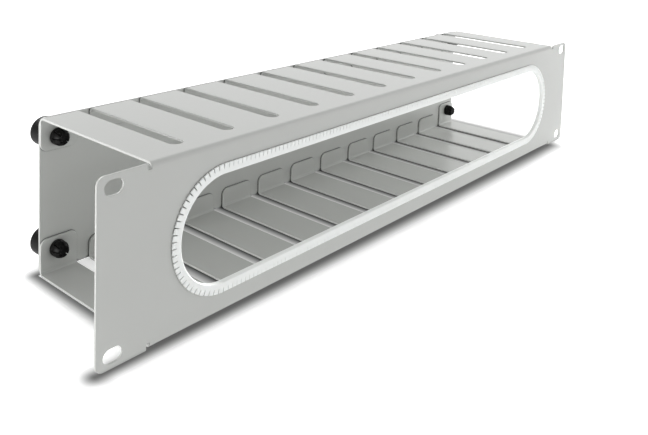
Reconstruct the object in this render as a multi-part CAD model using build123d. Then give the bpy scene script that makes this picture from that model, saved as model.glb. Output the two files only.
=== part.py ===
from build123d import *
from build123d import SkipClean
import math
import os

# A horizontal cable manager for a 19-inch rack, two rack units high.
# X runs left to right, Y from the front face to the rear, Z up; sizes in millimetres.
# The origin is the middle of the four rack holes, on the front face of the panel.

# Rack standard: panel width, height of two units, and the pattern of the mounting holes
PANEL_WIDTH = 482.6
PANEL_HEIGHT = 88.1
HOLE_FROM_SIDE = 8.75
HOLE_FROM_TOP = 5.95
HOLE_LENGTH = 10.0
HOLE_HEIGHT = 7.0
EAR_WIDTH = 28.8
EAR_CORNER = 4.0

# Folded sheet
SHEET = 1.2
BEND_INSIDE = 1.6
BODY_DEPTH = 97.5
RELIEF_WIDTH = 2.0
RELIEF_MARGIN = 0.4

# Slots that part the fingers of the top and bottom plates
END_FINGER = 20.0
SLOT_PITCH = 33.9
SLOT_WIDTH = 8.2
SLOT_FRONT = 12.5

# Tabs at the ends of the fingers, measured from the outside of the plates
TOP_TAB = 19.0
BOTTOM_TAB = 20.2
MIDDLE_TAB = 13.0
TAB_CORNER = 4.0

# Long opening in the front panel, measured from the folded body's ends, top and bottom
OPENING_FROM_END = 15.5
OPENING_FROM_TOP = 14.8

# Serrated edge strip, a U-section clipped over the edge of the opening
STRIP_WALL = 1.0
STRIP_WEB = 1.4
STRIP_REACH = 4.0
STRIP_CHAMFER = 0.7
STRIP_CLEARANCE = 0.05
TOOTH_PITCH = 3.0
TOOTH_GAP = 0.5
TOOTH_ROOT = 0.6

# Rear cover
COVER_SHEET = 1.2
COVER_INSET = 0.6
COVER_CORNER = 4.0

# Push clips and the holes they go through
CLIP_FROM_END = 9.8
CLIP_FROM_TOP = 12.3
CLIP_FROM_BOTTOM = 13.1
CLIP_SHANK = 6.4
CLIP_HOLE_CLEARANCE = 0.3
CLIP_HEAD = 15.7
CLIP_HEAD_HEIGHT = 12.6
CLIP_HEAD_CHAMFER = 1.2
CLIP_CORE = 4.2
CLIP_CORE_SUNK = 0.8
LEG_COUNT = 8
LEG_SLIT = 0.8
LEG_LENGTH = 7.0
LEG_WIDEST = 9.4
LEG_NARROWEST = 6.4

# Sizes that follow from the ones above
BEND_OUTSIDE = BEND_INSIDE + SHEET
BEND_FLAT = BEND_INSIDE * (2 - math.sqrt(2))
BODY_WIDTH = PANEL_WIDTH - 2 * EAR_WIDTH
HALF_BODY = BODY_WIDTH / 2
HALF_PANEL = PANEL_WIDTH / 2
TOP_Z = PANEL_HEIGHT / 2
BOTTOM_Z = -PANEL_HEIGHT / 2
HOLE_X = HALF_PANEL - HOLE_FROM_SIDE
HOLE_Z = TOP_Z - HOLE_FROM_TOP
OPENING_LENGTH = BODY_WIDTH - 2 * OPENING_FROM_END
OPENING_HEIGHT = PANEL_HEIGHT - 2 * OPENING_FROM_TOP
HALF_STRAIGHT = (OPENING_LENGTH - OPENING_HEIGHT) / 2
TAB_INNER_Y = BODY_DEPTH - SHEET
COVER_OUTER_Y = BODY_DEPTH + COVER_SHEET
CLIP_X = HALF_BODY - CLIP_FROM_END
CLIP_TOP_Z = TOP_Z - CLIP_FROM_TOP
CLIP_BOTTOM_Z = BOTTOM_Z + CLIP_FROM_BOTTOM
CLIP_HOLE = CLIP_SHANK + 2 * CLIP_HOLE_CLEARANCE
SLOT_COUNT = 1 + math.floor((BODY_WIDTH - 2 * END_FINGER - SLOT_WIDTH) / SLOT_PITCH)
SLOT_X = [(i - (SLOT_COUNT - 1) / 2) * SLOT_PITCH for i in range(SLOT_COUNT)]
CLIP_POINTS = [(side * CLIP_X, z) for side in (-1, 1) for z in (CLIP_TOP_Z, CLIP_BOTTOM_Z)]


def slab(sketch, front_y, thickness):
    """Turns an outline drawn in X and Z into a plate that starts at front_y."""
    back = Plane.XZ.offset(-(front_y + thickness))
    return extrude(back * sketch, amount=thickness)


def stadium(grow):
    """The opening's outline round the middle of the panel, grown or shrunk all round."""
    return SlotOverall(OPENING_LENGTH + 2 * grow, OPENING_HEIGHT + 2 * grow)


def folded_sheet():
    """Front, top, bottom and a still closed rear as one bent section of full body width."""
    centre = Pos(BODY_DEPTH / 2, 0)
    outside = centre * RectangleRounded(BODY_DEPTH, PANEL_HEIGHT, BEND_OUTSIDE)
    inside_depth = BODY_DEPTH - 2 * SHEET
    inside_height = PANEL_HEIGHT - 2 * SHEET
    inside = centre * Rectangle(inside_depth, inside_height)
    inside = chamfer(inside.vertices(), BEND_FLAT)
    return extrude(Plane.YZ * (outside - inside), amount=HALF_BODY, both=True)


def tab_window(top_tab, bottom_tab, half_width):
    """Cutter through the closed rear that leaves tabs of the given lengths."""
    height = PANEL_HEIGHT - top_tab - bottom_tab
    middle = BOTTOM_Z + bottom_tab + height / 2
    opening = Pos(BODY_DEPTH, middle) * Rectangle(2 * BEND_OUTSIDE, height)
    return extrude(Plane.YZ * opening, amount=half_width, both=True)


def ear(side):
    """One rack ear with rounded outer corners and bend reliefs beside the folds."""
    width = HALF_PANEL - HALF_BODY
    plate = Pos(side * (HALF_BODY + width / 2), 0) * Rectangle(width, PANEL_HEIGHT)
    outer = [v for v in plate.vertices() if abs(v.X) > HALF_PANEL - EAR_CORNER]
    plate = fillet(outer, EAR_CORNER)
    relief_height = BEND_OUTSIDE + RELIEF_MARGIN
    for z in (BOTTOM_Z + relief_height / 2, TOP_Z - relief_height / 2):
        relief_x = side * (HALF_BODY + RELIEF_WIDTH / 2)
        plate -= Pos(relief_x, z) * Rectangle(RELIEF_WIDTH, relief_height)
    for z in (-HOLE_Z, HOLE_Z):
        plate -= Pos(side * HOLE_X, z) * SlotOverall(HOLE_LENGTH, HOLE_HEIGHT)
    return slab(plate, 0, SHEET)


def finger_slots():
    """Cutters for the slots: rounded at the front, open at the rear, through both plates."""
    radius = SLOT_WIDTH / 2
    start = SLOT_FRONT + radius
    length = BODY_DEPTH + SHEET - start
    cutters = []
    for x in SLOT_X:
        outline = Pos(x, start) * Circle(radius)
        outline += Pos(x, start + length / 2) * Rectangle(SLOT_WIDTH, length)
        cutters.append(extrude(outline, amount=PANEL_HEIGHT, both=True))
    return cutters


def clip_holes(front_y, thickness):
    """Cutters for the four clip holes through a plate."""
    discs = [Pos(x, z) * Circle(CLIP_HOLE / 2) for x, z in CLIP_POINTS]
    return [slab(disc, front_y - SHEET / 4, thickness + SHEET / 2) for disc in discs]


def make_body():
    """The folded sheet with opening, slots, rounded tabs, clip holes and ears."""
    body = folded_sheet() - tab_window(TOP_TAB, BOTTOM_TAB, BODY_WIDTH)
    body -= tab_window(MIDDLE_TAB, MIDDLE_TAB, SLOT_X[-1])
    body -= slab(stadium(0), -SHEET, 3 * SHEET)
    body -= finger_slots()
    tab_ends = [TOP_Z - length for length in (TOP_TAB, MIDDLE_TAB)]
    tab_ends += [BOTTOM_Z + length for length in (BOTTOM_TAB, MIDDLE_TAB)]
    corners = []
    for edge in body.edges().filter_by(Axis.Y):
        middle = edge.center()
        at_end = min(abs(middle.Z - z) for z in tab_ends) < SHEET / 2
        if at_end and middle.Y > TAB_INNER_Y - SHEET / 2:
            corners.append(edge)
    body = fillet(corners, TAB_CORNER) - clip_holes(TAB_INNER_Y, SHEET)
    # Left unmerged, the back of each ear is a face of its own, the one that seats on the rack
    with SkipClean():
        return body + ear(-1) + ear(1)


def make_rear_cover():
    """The flat cover plate with rounded corners, lying on the outside of the tabs."""
    height = PANEL_HEIGHT - 2 * COVER_INSET
    plate = RectangleRounded(BODY_WIDTH, height, COVER_CORNER)
    return slab(plate, BODY_DEPTH, COVER_SHEET) - clip_holes(BODY_DEPTH, COVER_SHEET)


def outward(spot):
    """Direction square to the opening's edge at the spot, away from its middle."""
    nearest = Vector(max(-HALF_STRAIGHT, min(spot.X, HALF_STRAIGHT)), 0)
    return (spot - nearest).normalized()


def toothed_outline():
    """The strip's front flange: straight teeth that fan out at its round ends, parted by V cuts."""
    edge = stadium(0).wire()
    count = round(edge.length / TOOTH_PITCH)
    half_tooth = (TOOTH_PITCH - TOOTH_GAP) / 2
    points = []
    for i in range(count):
        root = edge.position_at(i / count)
        spot = edge.position_at((i + 1 / 2) / count)
        along = edge.tangent_at((i + 1 / 2) / count) * half_tooth
        tooth_end = spot + outward(spot) * STRIP_REACH
        points += [root + outward(root) * TOOTH_ROOT, tooth_end - along, tooth_end + along]
    return make_face(Polyline(*points, close=True))


def make_edge_trim():
    """The serrated strip: a web in the opening, a toothed flange in front, a plain one behind."""
    front_y = -STRIP_CLEARANCE - STRIP_WALL
    rear_y = SHEET + STRIP_CLEARANCE
    depth = rear_y + STRIP_WALL - front_y
    inner = stadium(-STRIP_CLEARANCE - STRIP_WEB)
    web = slab(stadium(-STRIP_CLEARANCE) - inner, front_y, depth)
    nose = []
    for face in web.faces().filter_by(Axis.Y):
        nose += face.inner_wires().edges()
    web = chamfer(nose, STRIP_CHAMFER)
    cut = stadium(-STRIP_CLEARANCE - STRIP_WEB / 2)
    front_flange = slab(toothed_outline() - cut, front_y, STRIP_WALL)
    rear_flange = slab(stadium(STRIP_REACH) - cut, rear_y, STRIP_WALL)
    return web + front_flange + rear_flange


def clip_flats(width):
    """The outline of a clip's shank or legs, with two flats to a leg."""
    return RegularPolygon(width / 2, 2 * LEG_COUNT, major_radius=False)


def clip_legs():
    """The split inner end: legs that grip the tab and taper to the front, round a sunken core."""
    tip_y = TAB_INNER_Y - LEG_LENGTH
    slope = math.degrees(math.atan2((LEG_WIDEST - LEG_NARROWEST) / 2, LEG_LENGTH))
    widest = Plane.XZ.offset(-TAB_INNER_Y) * clip_flats(LEG_WIDEST)
    legs = extrude(widest, amount=LEG_LENGTH, taper=slope)
    slit = Rectangle(2 * LEG_WIDEST, LEG_SLIT)
    slits = [Rot(0, 0, 360 * i / LEG_COUNT) * slit for i in range(LEG_COUNT // 2)]
    legs -= [slab(outline, tip_y, LEG_LENGTH) for outline in slits]
    core = RegularPolygon(CLIP_CORE / 2, LEG_COUNT)
    return legs + slab(core, tip_y, LEG_LENGTH) - slab(core, tip_y, CLIP_CORE_SUNK)


def make_clip():
    """A push clip along Y: knob outside the cover, shank through the holes, legs inside."""
    head = slab(Circle(CLIP_HEAD / 2), COVER_OUTER_Y, CLIP_HEAD_HEIGHT)
    clip = chamfer(head.edges().group_by(Axis.Y)[-1], CLIP_HEAD_CHAMFER)
    clip += slab(clip_flats(CLIP_SHANK), TAB_INNER_Y, COVER_OUTER_Y - TAB_INNER_Y)
    return clip + clip_legs()


def save(shape, name):
    """Writes one named piece."""
    export_step(shape, os.path.join("parts", name + ".step"))


os.makedirs("parts", exist_ok=True)
save(make_body(), "body")
save(make_rear_cover(), "rear_cover")
save(make_edge_trim(), "edge_trim")
clip = make_clip()
save(Compound([Pos(x, 0, z) * clip for x, z in CLIP_POINTS]), "push_clips")
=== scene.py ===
import math

import bmesh
import bpy
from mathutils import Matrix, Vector


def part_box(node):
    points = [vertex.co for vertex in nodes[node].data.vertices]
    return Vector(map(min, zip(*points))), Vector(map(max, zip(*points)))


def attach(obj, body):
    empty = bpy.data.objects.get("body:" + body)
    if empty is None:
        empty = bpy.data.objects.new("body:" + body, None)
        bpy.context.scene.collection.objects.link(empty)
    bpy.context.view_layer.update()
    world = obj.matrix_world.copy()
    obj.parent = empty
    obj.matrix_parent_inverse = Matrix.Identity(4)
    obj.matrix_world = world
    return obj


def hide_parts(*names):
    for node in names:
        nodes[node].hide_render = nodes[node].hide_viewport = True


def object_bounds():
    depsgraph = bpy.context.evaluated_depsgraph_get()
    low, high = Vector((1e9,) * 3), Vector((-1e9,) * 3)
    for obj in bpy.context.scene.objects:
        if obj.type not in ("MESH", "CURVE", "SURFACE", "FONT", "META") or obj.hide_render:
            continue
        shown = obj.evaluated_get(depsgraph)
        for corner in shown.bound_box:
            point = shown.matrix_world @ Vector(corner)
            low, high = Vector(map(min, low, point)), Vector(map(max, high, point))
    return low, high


# The looks of a horizontal cable manager: powder-coated sheet, white edge strip, black push clips.
# Everything is in metres, in the part's own frame: X to the right, Y to the rear, Z up.

MM = 0.001

# Camera: where it stands, its turn in degrees, its lens in millimetres and its lens shift
CAMERA_PLACE = (-0.421473, -0.274573, 0.164699)
CAMERA_TURN = (85.208, -1.800, -49.117)
CAMERA_LENS = 42.728
CAMERA_SHIFT = (0.00937, -0.39232)
CAMERA_NEAREST = 0.01

# Points closer than this are one, and angles up to this, in degrees, are flat
SAME_POINT = 0.001 * MM
FLAT_ANGLE = 0.5

# Edges: the least angle in degrees that is rounded, and the rounding of coat, strip and clips
EDGE_ANGLE = 35
ROUNDING_STEPS = 2
COAT_ROUNDING = 0.2 * MM
STRIP_ROUNDING = 0.1 * MM
CLIP_ROUNDING = 0.15 * MM

# Folded sheet: its thickness, and the row of slots in its top and bottom
SHEET = 1.2 * MM
SLOT_PITCH = 33.9 * MM
SLOT_WIDTH = 8.2 * MM
SLOT_FRONT = 12.5 * MM

# Edge strip: a U-section along the edge of the opening, both flanges cut into teeth
STRIP_WALL = 1.0 * MM
STRIP_WEB = 1.4 * MM
STRIP_PLAY = 0.05 * MM
STRIP_REACH = 4.0 * MM
STRIP_NOSE = 0.7 * MM
TOOTH_PITCH = 3.0 * MM
TOOTH_GAP = 0.32 * MM
TOOTH_ROOT = 1.5 * MM
TIP_STEPS = 4
NOSE_STEPS = 4

# Push clips: a round knob with a dished end behind the cover
CLIP_HEAD = 15.7 * MM
CLIP_LIFT = 0.35 * MM
KNOB_RADIUS = 8.0 * MM
KNOB_RIM = 0.8 * MM
KNOB_FOOT_RIM = 0.4 * MM
KNOB_DISH_RADIUS = 5.6 * MM
KNOB_DISH_DEPTH = 0.35 * MM
SHANK_RADIUS = 3.2 * MM

# Push clips inside the tabs: a collar, a core, and split legs whose radii run from root to tip
COLLAR_RADIUS = 4.7 * MM
COLLAR_LENGTH = 2.2 * MM
COLLAR_RIM = 0.5 * MM
CORE_RADIUS = 2.1 * MM
CORE_SUNK = 0.5 * MM
CORE_DISH = 0.4 * MM
LEG_COUNT = 8
LEG_SLIT = 0.5 * MM
LEG_START = 0.9 * CORE_RADIUS
LEG_RADII = (4.2 * MM, 4.6 * MM, 4.6 * MM, 4.1 * MM, 3.1 * MM)
LEG_ARC_STEPS = 4
ROUND_STEPS = 64
RIM_STEPS = 5

# Grained finishes: colour and its share of change, the range of roughness, bumps per metre,
# how uneven the bumps are, and the depth and strength of the bumps
COAT = {
    "colour": (0.500, 0.509, 0.492), "tone_share": 0.012, "roughness": (0.21, 0.265),
    "bumps": 1500.0, "unevenness": 0.35, "depth": 0.02 * MM, "strength": 0.2,
}
WHITE_NYLON = {
    "colour": (0.88, 0.90, 0.885), "tone_share": 0.015, "roughness": (0.38, 0.50),
    "bumps": 1100.0, "unevenness": 0.3, "depth": 0.04 * MM, "strength": 0.3,
}
BLACK_NYLON = {
    "colour": (0.0035, 0.0035, 0.0032), "tone_share": 0.1, "roughness": (0.40, 0.50),
    "bumps": 1300.0, "unevenness": 0.3, "depth": 0.04 * MM, "strength": 0.3,
}

# The coat's index of refraction, the black nylon's share of shine, and the share, the spread by
# colour and the depth of the light that enters the white nylon
COAT_IOR = 1.52
BLACK_NYLON_SPECULAR = 0.12
WHITE_NYLON_SOFT_SHARE = 0.15
WHITE_NYLON_SOFT_SPREAD = (0.8, 0.75, 0.7)
WHITE_NYLON_SOFT_DEPTH = 0.8 * MM

# Grain: detail and roughness of the bumps' noise, and scale and detail of the slow waves' noise
BUMP_DETAIL = 3.0
BUMP_ROUGHNESS = 0.55
WAVE_SCALE = 38.0
WAVE_DETAIL = 2.0

# Contact shade: painted shade, dark lines painted into the coat's colour where sheets lie on each
# other. It looks round a spot up to its reach and runs from closed to open; the lightness kept in
# the closest gaps differs by piece.
CONTACT_SAMPLES = 8
CONTACT_REACH = 2.6 * MM
CONTACT_CLOSED = 0.45
CONTACT_OPEN = 0.85
BODY_PAINTED_SHADE = 0.75
COVER_PAINTED_SHADE = 0.10

# Floor: its size, its finish, and its glow where it is seen, elsewhere and at the panel's foot
FLOOR_SIZE = 12.0
FLOOR_WHITE = 0.95
FLOOR_ROUGHNESS = 0.9
FLOOR_SPECULAR = 0.1
FLOOR_GLOW = 0.22
FLOOR_SEEN_GLOW = 1.8
PANEL_FOOT_GLOW = 2.1
FOOT_GLOW_REACH = 60 * MM

# Painted shade on the floor, seen by the camera only: how light it stays at the part's edges and at
# the left and right side of each slot, where it is lifted to white from the first slot at the left
# end, and how far it reaches at either end
SHADE_EDGE = 0.14
SHADE_SLOT_LEFT = 0.76
SHADE_SLOT_RIGHT = 0.03
PAINTED_WHITE_SLOT_START = -182 * MM
SHADE_REACH_LEFT = 10 * MM
SHADE_REACH_RIGHT = 20 * MM

# Sky: its strength where it is seen, and as light from the darkest to the brightest side
SKY_SEEN = 1.1
SKY_LEAST = 0.0
SKY_MOST = 1.30
SKY_BRIGHT_SIDE = (1, 0, 0)

# Lamps: soft boxes, with spread in degrees and power in watts
LAMPS = {
    "right_box": {
        "place": (0.55, -0.55, 0.30), "aim": (0.15, 0, 0), "size": 0.4, "spread": 80, "power": 0.12,
    },
    "rear_box": {
        "place": (0, 1.2, 0.9), "aim": (0, 0, 0), "size": 0.8, "spread": 180, "power": 8.0,
    },
    "left_box": {
        "place": (-1.0, 0.30, 0.35), "aim": (0, 0, 0), "size": 0.5, "spread": 180, "power": 1.6,
    },
    "low_left_box": {
        "place": (-1.1, 0.10, 0), "aim": (0, 0.05, 0), "size": 0.2, "spread": 120, "power": 3.3,
    },
    "low_right_box": {
        "place": (1.1, 0.10, 0), "aim": (0, 0.05, 0), "size": 0.2, "spread": 120, "power": 15.0,
    },
}

# Places of the share, the two entries and the result among a mix node's sockets
MIX_SHARE = 0
MIX_NUMBERS = (2, 3)
MIX_COLOURS = (6, 7)
MIXED_NUMBER = 0
MIXED_COLOUR = 2

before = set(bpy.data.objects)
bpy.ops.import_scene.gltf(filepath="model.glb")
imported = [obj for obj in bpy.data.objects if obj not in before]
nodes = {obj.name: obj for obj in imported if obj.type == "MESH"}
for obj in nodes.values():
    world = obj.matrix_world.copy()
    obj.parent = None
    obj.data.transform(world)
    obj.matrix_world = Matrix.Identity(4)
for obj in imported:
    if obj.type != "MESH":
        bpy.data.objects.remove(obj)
cad_low, cad_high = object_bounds()
body_low, body_high = [Vector(corner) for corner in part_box("body")]
strip_low, strip_high = [Vector(corner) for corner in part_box("edge_trim")]
cover_low, cover_high = [Vector(corner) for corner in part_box("rear_cover")]
clips_low, clips_high = [Vector(corner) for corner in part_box("push_clips")]


def grey(level):
    """A plain grey, or a white stronger than one for things that glow."""
    return (level, level, level, 1)


def feed(tree, entry, value):
    """Gives an input a fixed value, or a link when the value is another node's output."""
    if isinstance(value, bpy.types.NodeSocket):
        tree.links.new(value, entry)
    else:
        entry.default_value = value


def add_node(tree, kind, entries, **settings):
    """A shader node with its plain settings and its inputs."""
    made = tree.nodes.new(kind)
    for name, value in settings.items():
        setattr(made, name, value)
    for entry, value in entries.items():
        feed(tree, made.inputs[entry], value)
    return made


def calculate(tree, operation, first, second=0.0):
    """The output of a sum on one or two numbers."""
    made = add_node(tree, "ShaderNodeMath", {0: first, 1: second}, operation=operation)
    return made.outputs[0]


def map_range(tree, value, source, target, interpolation="LINEAR"):
    """A number carried from one range to another and kept inside it."""
    entries = {"Value": value}
    entries["From Min"], entries["From Max"] = source
    entries["To Min"], entries["To Max"] = target
    made = add_node(tree, "ShaderNodeMapRange", entries, interpolation_type=interpolation)
    return made.outputs["Result"]


def mix_numbers(tree, share, low, high):
    """One number that runs from the low to the high one with the share."""
    entries = dict(zip((MIX_SHARE,) + MIX_NUMBERS, (share, low, high)))
    return add_node(tree, "ShaderNodeMix", entries, data_type="FLOAT").outputs[MIXED_NUMBER]


def mix_colours(tree, share, low, high):
    """One colour that runs from the low to the high one with the share."""
    entries = dict(zip((MIX_SHARE,) + MIX_COLOURS, (share, low, high)))
    return add_node(tree, "ShaderNodeMix", entries, data_type="RGBA").outputs[MIXED_COLOUR]


def new_group(name, entries, results):
    """An empty shader node group with named number sockets."""
    tree = bpy.data.node_groups.new(name, "ShaderNodeTree")
    for label, value in entries.items():
        socket = tree.interface.new_socket(label, in_out="INPUT", socket_type="NodeSocketFloat")
        socket.default_value = value
    for label in results:
        tree.interface.new_socket(label, in_out="OUTPUT", socket_type="NodeSocketFloat")
    return tree, tree.nodes.new("NodeGroupInput"), tree.nodes.new("NodeGroupOutput")


def add_group(tree, group, **values):
    """A node group set into a material, with its inputs given by name."""
    made = tree.nodes.new("ShaderNodeGroup")
    made.node_tree = group
    for name, value in values.items():
        made.inputs[name.replace("_", " ")].default_value = value
    return made


def fine_grain_group():
    """Small bumps of one size over slow changes of tone, for coats and mouldings."""
    entries = {"Bumps per metre": COAT["bumps"], "Unevenness": COAT["unevenness"]}
    tree, given, result = new_group("fine_grain", entries, ("Height", "Tone"))
    place = tree.nodes.new("ShaderNodeTexCoord").outputs["Object"]
    scale = given.outputs["Bumps per metre"]
    entries = {"Vector": place, "Scale": scale, "Detail": BUMP_DETAIL, "Roughness": BUMP_ROUGHNESS}
    bumps = add_node(tree, "ShaderNodeTexNoise", entries).outputs["Fac"]
    entries = {"Vector": place, "Scale": WAVE_SCALE, "Detail": WAVE_DETAIL}
    waves = add_node(tree, "ShaderNodeTexNoise", entries).outputs["Fac"]
    height = mix_numbers(tree, given.outputs["Unevenness"], bumps, waves)
    feed(tree, result.inputs["Height"], height)
    feed(tree, result.inputs["Tone"], waves)
    return tree


def painted_contact_shade_group():
    """Painted shade: how open a spot is to what lies around it, darkest in narrow gaps and corners, one
    in the open.
    """
    entries = {"Reach": CONTACT_REACH, "Darkest": BODY_PAINTED_SHADE}
    tree, given, result = new_group("contact_shade", entries, ("Light",))
    entries = {"Distance": given.outputs["Reach"]}
    around = add_node(tree, "ShaderNodeAmbientOcclusion", entries, samples=CONTACT_SAMPLES)
    source = (CONTACT_CLOSED, CONTACT_OPEN)
    target = (given.outputs["Darkest"], 1.0)
    light = map_range(tree, around.outputs["AO"], source, target, "SMOOTHSTEP")
    feed(tree, result.inputs["Light"], light)
    return tree


def grained_material(name, colour, tone_share, roughness, bumps, unevenness, depth, strength):
    """A finish with a fine grain: slow changes of tone and gloss, and small bumps."""
    made = bpy.data.materials.new(name)
    made.use_nodes = True
    tree = made.node_tree
    shader = tree.nodes["Principled BSDF"]
    grain = add_group(tree, FINE_GRAIN, Bumps_per_metre=bumps, Unevenness=unevenness)
    darker = tuple(part * (1 - tone_share) for part in colour) + (1,)
    lighter = tuple(min(part * (1 + tone_share), 1) for part in colour) + (1,)
    tones = mix_colours(tree, grain.outputs["Tone"], darker, lighter)
    gloss = map_range(tree, grain.outputs["Tone"], (0.0, 1.0), roughness)
    entries = {"Height": grain.outputs["Height"], "Strength": strength, "Distance": depth}
    bump = add_node(tree, "ShaderNodeBump", entries)
    feed(tree, shader.inputs["Base Color"], tones)
    feed(tree, shader.inputs["Roughness"], gloss)
    feed(tree, shader.inputs["Normal"], bump.outputs["Normal"])
    return made, shader, tones


def coat_material(name, darkest):
    """Light grey powder coat, semi-gloss, with a faint orange peel and painted shade as dark lines in
    narrow gaps.
    """
    made, shader, tones = grained_material(name, **COAT)
    shader.inputs["IOR"].default_value = COAT_IOR
    tree = made.node_tree
    # Painted shade: the coat's colour darkens towards black in narrow gaps and corners, down to the given
    # lightness
    contact = add_group(tree, PAINTED_CONTACT_SHADE, Reach=CONTACT_REACH, Darkest=darkest)
    shaded = mix_colours(tree, contact.outputs["Light"], grey(0.0), tones)
    feed(tree, shader.inputs["Base Color"], shaded)
    return made


def white_nylon_material():
    """The strip's soft white nylon, which lets a little light in."""
    made, shader, _ = grained_material("white_nylon", **WHITE_NYLON)
    shader.inputs["Subsurface Weight"].default_value = WHITE_NYLON_SOFT_SHARE
    shader.inputs["Subsurface Radius"].default_value = WHITE_NYLON_SOFT_SPREAD
    shader.inputs["Subsurface Scale"].default_value = WHITE_NYLON_SOFT_DEPTH
    return made


def black_nylon_material():
    """The clips' black moulded nylon, satin."""
    made, shader, _ = grained_material("black_nylon", **BLACK_NYLON)
    shader.inputs["Specular IOR Level"].default_value = BLACK_NYLON_SPECULAR
    return made


def floor_place(tree):
    """The X and Y of a spot on the floor."""
    place = tree.nodes.new("ShaderNodeTexCoord").outputs["Object"]
    parts = add_node(tree, "ShaderNodeSeparateXYZ", {"Vector": place})
    return parts.outputs["X"], parts.outputs["Y"]


def distance_past(tree, coordinate, low, high):
    """How far a coordinate lies outside a stretch, nought inside it."""
    past = calculate(tree, "SUBTRACT", coordinate, high)
    short = calculate(tree, "SUBTRACT", low, coordinate)
    larger = calculate(tree, "MAXIMUM", past, short)
    return calculate(tree, "MAXIMUM", larger, 0.0)


def distance_from(tree, across, along, low, high):
    """How far a spot on the floor lies outside a rectangle, nought inside it."""
    side = distance_past(tree, across, low[0], high[0])
    front = distance_past(tree, along, low[1], high[1])
    away = add_node(tree, "ShaderNodeCombineXYZ", {"X": side, "Y": front}).outputs["Vector"]
    length = add_node(tree, "ShaderNodeVectorMath", {"Vector": away}, operation="LENGTH")
    return length.outputs["Value"]


def painted_slot_shade(tree, across):
    """Painted shade on the floor under the slots: light at the left of each, dark at its right."""
    pitches = calculate(tree, "DIVIDE", across, SLOT_PITCH)
    share = calculate(tree, "FRACT", pitches)
    half_slot = SLOT_WIDTH / SLOT_PITCH / 2
    slot = (1 / 2 - half_slot, 1 / 2 + half_slot)
    light = map_range(tree, share, slot, (SHADE_SLOT_LEFT, SHADE_SLOT_RIGHT))
    # Painted light: no shade from the first slot at the left end outward, so the floor there stays white.
    white_end = (PAINTED_WHITE_SLOT_START + SLOT_WIDTH / 4, PAINTED_WHITE_SLOT_START)
    white = map_range(tree, across, white_end, (0.0, 1.0))
    return calculate(tree, "MAXIMUM", light, white)


def painted_floor_shade(tree):
    """Painted shade on the floor: dark under the part, white from a little way past its edges."""
    across, along = floor_place(tree)
    channel_low = (cover_low.x, body_low.y)
    channel_high = (cover_high.x, cover_high.y)
    from_channel = distance_from(tree, across, along, channel_low, channel_high)
    # Painted shade along the left ear's foot as well; the right ear has none.
    from_ear = distance_from(tree, across, along, (body_low.x, body_low.y), (cover_low.x, body_low.y))
    length = calculate(tree, "MINIMUM", from_channel, from_ear)
    reach = map_range(tree, across, (cover_low.x, cover_high.x), (SHADE_REACH_LEFT, SHADE_REACH_RIGHT))
    behind_front = calculate(tree, "GREATER_THAN", along, SLOT_FRONT)
    inside = calculate(tree, "LESS_THAN", length, SAME_POINT)
    slotted = calculate(tree, "MULTIPLY", behind_front, inside)
    darkest = mix_numbers(tree, slotted, SHADE_EDGE, painted_slot_shade(tree, across))
    return map_range(tree, length, (0.0, reach), (darkest, 1.0), "SMOOTHSTEP")


def near_panel(tree):
    """One on the floor at the foot of the front panel, fading to nought a little way before it."""
    along = floor_place(tree)[1]
    nearness = map_range(tree, along, (body_low.y - FOOT_GLOW_REACH, body_low.y), (0.0, 1.0))
    before = calculate(tree, "LESS_THAN", along, body_low.y)
    return calculate(tree, "MULTIPLY", nearness, before)


def floor_material():
    """Plain pale studio floor. Only where the camera sees it is painted shade darkening it under the
    part.
    """
    made = bpy.data.materials.new("studio_floor")
    made.use_nodes = True
    made.cycles.emission_sampling = "NONE"
    tree = made.node_tree
    shader = tree.nodes["Principled BSDF"]
    shader.inputs["Roughness"].default_value = FLOOR_ROUGHNESS
    shader.inputs["Specular IOR Level"].default_value = FLOOR_SPECULAR
    shader.inputs["Emission Strength"].default_value = FLOOR_GLOW
    seen = tree.nodes.new("ShaderNodeLightPath").outputs["Is Camera Ray"]
    # Painted shade for camera rays only; for other rays the floor's colour stays white.
    shade = mix_numbers(tree, seen, 1.0, painted_floor_shade(tree))
    tones = mix_colours(tree, shade, grey(0.0), grey(FLOOR_WHITE))
    cast_glow = mix_colours(tree, near_panel(tree), grey(FLOOR_WHITE), grey(PANEL_FOOT_GLOW))
    seen_glow = mix_colours(tree, shade, grey(0.0), grey(FLOOR_SEEN_GLOW))
    glow = mix_colours(tree, seen, cast_glow, seen_glow)
    feed(tree, shader.inputs["Base Color"], tones)
    feed(tree, shader.inputs["Emission Color"], glow)
    return made


def dress(node, material, rounding):
    """Gives a CAD node its finish, joins its flat facets and lightly rounds its sharp edges."""
    node.data.materials.clear()
    node.data.materials.append(material)
    weld = node.modifiers.new("joined_points", "WELD")
    weld.merge_threshold = SAME_POINT
    flats = node.modifiers.new("joined_flats", "DECIMATE")
    flats.decimate_type = "DISSOLVE"
    flats.angle_limit = math.radians(FLAT_ANGLE)
    round_edges(node, rounding)


def round_edges(piece, rounding):
    """Rounds the edges that are sharper than the edge angle, and evens the shading."""
    bevel = piece.modifiers.new("rounded_edges", "BEVEL")
    bevel.width = rounding
    bevel.segments = ROUNDING_STEPS
    bevel.limit_method = "ANGLE"
    bevel.angle_limit = math.radians(EDGE_ANGLE)
    bevel.use_clamp_overlap = False
    even = piece.modifiers.new("even_shading", "WEIGHTED_NORMAL")
    even.keep_sharp = False


def add_piece(name, form, material, node):
    """Makes a piece from a mesh form, dresses it and lets it stand for a CAD node."""
    mesh = bpy.data.meshes.new(name)
    bmesh.ops.recalc_face_normals(form, faces=form.faces)
    form.to_mesh(mesh)
    form.free()
    mesh.polygons.foreach_set("use_smooth", [True] * len(mesh.polygons))
    mesh.materials.append(material)
    piece = bpy.data.objects.new(name, mesh)
    bpy.context.scene.collection.objects.link(piece)
    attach(piece, "root")
    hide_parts(node)
    return piece


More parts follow.
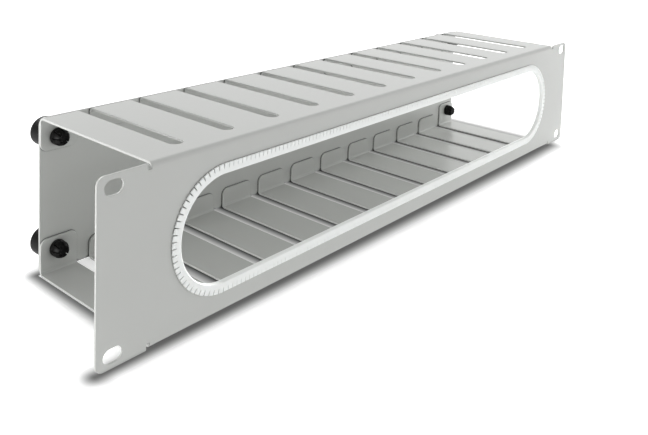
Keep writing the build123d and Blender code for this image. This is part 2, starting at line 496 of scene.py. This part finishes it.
def arc(middle, radius, start, end, steps):
    """Points on a round corner, with the angles in degrees."""
    points = []
    for i in range(steps + 1):
        angle = math.radians(start + (end - start) * i / steps)
        points.append((middle[0] + radius * math.cos(angle), middle[1] + radius * math.sin(angle)))
    return points


def strip_section(reach):
    """The strip's closed section: distance outward from the opening's edge, and depth along Y."""
    front = strip_low.y
    rear = strip_high.y
    tip = STRIP_WALL / 2
    inner = -STRIP_PLAY - STRIP_WEB
    seat = -STRIP_PLAY
    root = TOOTH_ROOT - tip
    nose = STRIP_NOSE
    points = arc((inner + nose, front + nose), nose, 180, 270, NOSE_STEPS)
    points += [(root, front)]
    points += arc((reach - tip, front + tip), tip, 270, 450, TIP_STEPS)
    points += [(root, front + STRIP_WALL), (seat, front + STRIP_WALL)]
    points += [(seat, rear - STRIP_WALL), (root, rear - STRIP_WALL)]
    points += arc((reach - tip, rear - tip), tip, 270, 450, TIP_STEPS)
    points += [(root, rear)]
    points += arc((inner + nose, rear - nose), nose, 90, 180, NOSE_STEPS)
    return points


def edge_place(distance, radius, half_straight):
    """The place, outward and onward directions at a distance along the opening's edge."""
    straight = 2 * half_straight
    half_turn = math.pi * radius
    distance = distance % (2 * straight + 2 * half_turn)
    flip = 1
    if distance >= straight + half_turn:
        distance -= straight + half_turn
        flip = -1
    if distance < straight:
        place = Vector((distance - half_straight, 0, radius))
        outward = Vector((0, 0, 1))
        onward = Vector((1, 0, 0))
    else:
        angle = (distance - straight) / radius
        outward = Vector((math.sin(angle), 0, math.cos(angle)))
        onward = Vector((math.cos(angle), 0, -math.sin(angle)))
        place = Vector((half_straight, 0, 0)) + outward * radius
    return place * flip, outward * flip, onward * flip


def strip_ring(form, place, outward, onward, reach):
    """One cross-section of the strip, set at a place along the opening's edge."""
    ring = []
    for out, depth in strip_section(reach):
        point = place + outward * out + onward
        ring.append(form.verts.new((point.x, depth, point.z)))
    return ring


def make_edge_strip():
    """The toothed strip: its section carried round the opening, cut back to the root in each gap."""
    outer_radius = (strip_high.z - strip_low.z) / 2
    radius = outer_radius - STRIP_REACH
    half_straight = (strip_high.x - strip_low.x) / 2 - outer_radius
    length = 4 * half_straight + 2 * math.pi * radius
    count = round(length / TOOTH_PITCH)
    half_tooth = (TOOTH_PITCH - TOOTH_GAP) / 2
    stations = [(-half_tooth, TOOTH_ROOT), (-half_tooth, STRIP_REACH)]
    stations += [(half_tooth, STRIP_REACH), (half_tooth, TOOTH_ROOT)]
    form = bmesh.new()
    rings = []
    for i in range(count):
        place, outward, onward = edge_place(length * i / count, radius, half_straight)
        for offset, reach in stations:
            rings.append(strip_ring(form, place, outward, onward * offset, reach))
    for i, ring in enumerate(rings):
        following = rings[(i + 1) % len(rings)]
        for j in range(len(ring)):
            k = (j + 1) % len(ring)
            form.faces.new((ring[j], ring[k], following[k], following[j]))
    bmesh.ops.remove_doubles(form, verts=form.verts, dist=SAME_POINT)
    strip = add_piece("toothed_edge_strip", form, white_nylon_material(), "edge_trim")
    round_edges(strip, STRIP_ROUNDING)


def turn_round(form, outline, steps):
    """Turns an outline of radius and depth round the Y axis; its ends lie on the axis."""
    start = form.verts.new((0, outline[0][1], 0))
    end = form.verts.new((0, outline[-1][1], 0))
    rings = []
    for radius, depth in outline[1:-1]:
        ring = []
        for i in range(steps):
            angle = 2 * math.pi * i / steps
            ring.append(form.verts.new((radius * math.cos(angle), depth, radius * math.sin(angle))))
        rings.append(ring)
    for i in range(steps):
        k = (i + 1) % steps
        form.faces.new((start, rings[0][i], rings[0][k]))
        form.faces.new((end, rings[-1][k], rings[-1][i]))
        for near, far in zip(rings, rings[1:]):
            form.faces.new((near[i], far[i], far[k], near[k]))


def core_and_collar():
    """The inner half of the clip's outline in radius and depth, from the core's dished tip to the tab."""
    tab = body_high.y - SHEET
    core_tip = clips_low.y + CORE_SUNK
    collar_tip = tab - COLLAR_LENGTH
    rim_middle = (COLLAR_RADIUS - COLLAR_RIM, collar_tip + COLLAR_RIM)
    outline = [(0, core_tip + CORE_DISH), (CORE_RADIUS / 2, core_tip + CORE_DISH)]
    outline += [(CORE_RADIUS - CORE_DISH / 2, core_tip), (CORE_RADIUS, core_tip + CORE_DISH / 2)]
    outline += [(CORE_RADIUS, collar_tip)]
    outline += arc(rim_middle, COLLAR_RIM, -90, 0, RIM_STEPS)
    outline += [(COLLAR_RADIUS, tab), (SHANK_RADIUS, tab)]
    return outline


def shank_and_knob():
    """The outer half of the clip's outline, from the cover's back to the middle of the knob's end."""
    foot = cover_high.y
    end = clips_high.y
    dish = end - KNOB_DISH_DEPTH
    rim_middle = (KNOB_RADIUS - KNOB_RIM, end - KNOB_RIM)
    outline = [(SHANK_RADIUS, foot)]
    outline += [(KNOB_RADIUS - KNOB_FOOT_RIM, foot), (KNOB_RADIUS, foot + KNOB_FOOT_RIM)]
    outline += arc(rim_middle, KNOB_RIM, 0, 90, RIM_STEPS)
    outline += [(KNOB_DISH_RADIUS, end), (KNOB_DISH_RADIUS - KNOB_DISH_DEPTH, dish), (0, dish)]
    return outline


def leg_ring(form, middle, radius, depth):
    """One cross-section of a leg: a wedge between the core and the leg's outside."""
    ring = []
    for size, side in ((radius, 1), (LEG_START, -1)):
        half = math.pi / LEG_COUNT - math.asin(LEG_SLIT / 2 / size)
        for i in range(LEG_ARC_STEPS + 1):
            angle = middle + side * half * (1 - 2 * i / LEG_ARC_STEPS)
            ring.append(form.verts.new((size * math.cos(angle), depth, size * math.sin(angle))))
    return ring


def add_leg(form, index):
    """One split leg, swollen behind its tip and narrow at it."""
    root = body_high.y - SHEET - COLLAR_LENGTH / 2
    middle = 2 * math.pi * (index + 1 / 2) / LEG_COUNT
    rings = []
    for i, radius in enumerate(LEG_RADII):
        depth = root + (clips_low.y - root) * i / (len(LEG_RADII) - 1)
        rings.append(leg_ring(form, middle, radius, depth))
    form.faces.new(rings[0])
    form.faces.new(rings[-1][::-1])
    for near, far in zip(rings, rings[1:]):
        for i in range(len(near)):
            k = (i + 1) % len(near)
            form.faces.new((near[i], far[i], far[k], near[k]))


def make_push_clip(name, x, z, material):
    """A push clip at its place: a turned body with split legs."""
    form = bmesh.new()
    turn_round(form, core_and_collar() + shank_and_knob(), ROUND_STEPS)
    for i in range(LEG_COUNT):
        add_leg(form, i)
    bmesh.ops.translate(form, vec=(x, 0, z), verts=form.verts)
    clip = add_piece(name, form, material, "push_clips")
    round_edges(clip, CLIP_ROUNDING)


def make_push_clips():
    """The four push clips, one near each corner of the cover."""
    material = black_nylon_material()
    across = {"left": clips_low.x + CLIP_HEAD / 2, "right": clips_high.x - CLIP_HEAD / 2}
    up = {"lower": clips_low.z + CLIP_HEAD / 2, "upper": clips_high.z - CLIP_HEAD / 2}
    for side, x in across.items():
        for level, z in up.items():
            make_push_clip("push_clip_" + level + "_" + side, x, z + CLIP_LIFT, material)


def soft_box(name, place, aim, size, spread, power):
    """A square area light that looks at a point of the part."""
    lamp = bpy.data.lights.new(name, "AREA")
    lamp.energy = power
    lamp.size = size
    lamp.spread = math.radians(spread)
    holder = bpy.data.objects.new(name, lamp)
    holder.location = place
    holder.rotation_euler = (Vector(aim) - Vector(place)).to_track_quat("-Z", "Y").to_euler()
    bpy.context.scene.collection.objects.link(holder)


def make_floor():
    """A wide plain floor that the part stands on."""
    form = bmesh.new()
    bmesh.ops.create_grid(form, x_segments=1, y_segments=1, size=FLOOR_SIZE / 2)
    mesh = bpy.data.meshes.new("studio_floor")
    form.to_mesh(mesh)
    form.free()
    floor = bpy.data.objects.new("studio_floor", mesh)
    floor.location = (0, 0, cad_low.z)
    floor.data.materials.append(floor_material())
    bpy.context.scene.collection.objects.link(floor)


def make_sky():
    """Soft light that is brightest from one side, and plain white where the sky is seen."""
    world = bpy.data.worlds.new("studio_sky")
    world.use_nodes = True
    tree = world.node_tree
    place = tree.nodes.new("ShaderNodeTexCoord").outputs["Generated"]
    bright_side = Vector(SKY_BRIGHT_SIDE).normalized()
    facing = add_node(tree, "ShaderNodeVectorMath", {0: place, 1: bright_side}, operation="DOT_PRODUCT")
    strength = map_range(tree, facing.outputs["Value"], (-1.0, 1.0), (SKY_LEAST, SKY_MOST))
    lit = tree.nodes["Background"]
    feed(tree, lit.inputs["Color"], grey(1.0))
    feed(tree, lit.inputs["Strength"], strength)
    seen = add_node(tree, "ShaderNodeBackground", {"Color": grey(1.0), "Strength": SKY_SEEN})
    camera_ray = tree.nodes.new("ShaderNodeLightPath").outputs["Is Camera Ray"]
    entries = {0: camera_ray, 1: lit.outputs[0], 2: seen.outputs[0]}
    mixed = add_node(tree, "ShaderNodeMixShader", entries)
    feed(tree, tree.nodes["World Output"].inputs["Surface"], mixed.outputs[0])
    bpy.context.scene.world = world


def make_camera():
    """The camera at the photograph's viewing angle."""
    camera = bpy.data.cameras.new("camera")
    camera.lens = CAMERA_LENS
    camera.shift_x, camera.shift_y = CAMERA_SHIFT
    camera.clip_start = CAMERA_NEAREST
    holder = bpy.data.objects.new("camera", camera)
    holder.location = CAMERA_PLACE
    holder.rotation_euler = [math.radians(turn) for turn in CAMERA_TURN]
    bpy.context.scene.collection.objects.link(holder)
    bpy.context.scene.camera = holder


FINE_GRAIN = fine_grain_group()
PAINTED_CONTACT_SHADE = painted_contact_shade_group()
dress(nodes["body"], coat_material("body_coat", BODY_PAINTED_SHADE), COAT_ROUNDING)
dress(nodes["rear_cover"], coat_material("cover_coat", COVER_PAINTED_SHADE), COAT_ROUNDING)
make_edge_strip()
make_push_clips()
make_floor()
make_sky()
for label, values in LAMPS.items():
    soft_box(label, **values)
make_camera()
bpy.context.scene.view_settings.view_transform = "Standard"
bpy.context.scene.cycles.caustics_reflective = False
